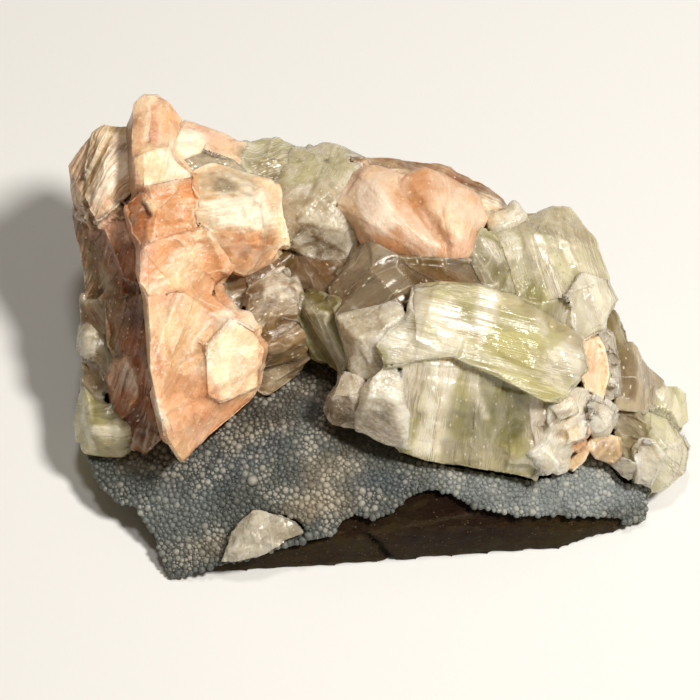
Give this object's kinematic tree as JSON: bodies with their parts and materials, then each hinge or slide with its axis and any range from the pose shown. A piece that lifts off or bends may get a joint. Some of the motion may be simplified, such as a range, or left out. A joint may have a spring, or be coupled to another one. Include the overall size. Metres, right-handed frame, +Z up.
{
  "type": "apophyllite cluster",
  "caption": "Mineral specimen: green apophyllite blocks and peach stilbite sheaves grown on grey botryoidal chalcedony over a broken wedge of dark basalt, lying on its flat break.",
  "frame": {"origin": "middle of the bounding box's footprint, on the flat break that the specimen rests on", "axes": "+X along the specimen's length, to the right as seen from the crystal side; +Y away from the viewer, into the slope; +Z up"},
  "size_m": [0.1204, 0.0822, 0.0558],
  "materials": {
    "apophyllite_green": "translucent pale green, fine growth striations, pearly glints",
    "apophyllite_clear": "translucent grey to colourless, veiled, glassy",
    "apophyllite_smoky": "translucent olive brown, glassy",
    "stilbite_peach": "silky to pearly cleavage faces, faintly translucent",
    "stilbite_cream": "pearly cream with clear veins",
    "stilbite_golden": "silky golden sheaf striations",
    "stilbite_red": "deep pink to red-brown, rough pearly faces",
    "chalcedony": "blue-grey botryoidal crust of small waxy balls",
    "basalt": "dark brown, fine-grained, rough broken faces"
  },
  "bodies": {
    "root": {"basalt_matrix": "basalt", "chalcedony_crust": "chalcedony", "apophyllite_main_upper": "apophyllite_green", "apophyllite_main_lower": "apophyllite_green", "apophyllite_cube_large": "apophyllite_clear", "apophyllite_cube_small": "apophyllite_clear", "apophyllite_step": "apophyllite_clear", "apophyllite_long": "apophyllite_green", "apophyllite_smoky_upper": "apophyllite_smoky", "apophyllite_smoky_right": "apophyllite_smoky", "stilbite_fin_foot": "stilbite_peach", "stilbite_fin_middle": "stilbite_peach", "stilbite_fin_shoulder": "stilbite_peach", "stilbite_fin_crest": "stilbite_peach", "stilbite_bow_tie": "stilbite_peach", "stilbite_back_layer": "stilbite_golden", "apophyllite_back_small": "apophyllite_clear", "apophyllite_back_right": "apophyllite_green", "apophyllite_right_cluster": "apophyllite_clear", "stilbite_right_patch": "stilbite_cream", "stilbite_right_blade": "stilbite_cream", "apophyllite_right_point": "apophyllite_clear", "stilbite_right_foot": "stilbite_golden", "apophyllite_right_sparkle": "apophyllite_clear", "stilbite_cream_block": "stilbite_cream", "stilbite_golden_sheaf": "stilbite_golden", "apophyllite_top_centre": "apophyllite_clear", "apophyllite_top_left": "apophyllite_green", "stilbite_back_ridge": "stilbite_peach", "apophyllite_crescent": "apophyllite_smoky", "stilbite_flank_upper": "stilbite_red", "stilbite_lens": "stilbite_red", "stilbite_flank_lower": "stilbite_red", "apophyllite_flank_grey": "apophyllite_clear", "apophyllite_bud": "apophyllite_clear", "apophyllite_left_foot": "apophyllite_green", "stilbite_hollow_column": "stilbite_cream", "stilbite_hollow_ledge": "stilbite_cream", "apophyllite_hollow_right": "apophyllite_smoky", "apophyllite_hollow_left": "apophyllite_smoky", "apophyllite_edge_upper": "apophyllite_smoky", "apophyllite_edge_round": "apophyllite_smoky", "apophyllite_corner_small": "apophyllite_clear", "apophyllite_corner_round": "apophyllite_green", "apophyllite_corner_tip": "apophyllite_green", "apophyllite_front_clear": "apophyllite_clear", "apophyllite_front_small": "apophyllite_clear"}
  },
  "joints": []
}
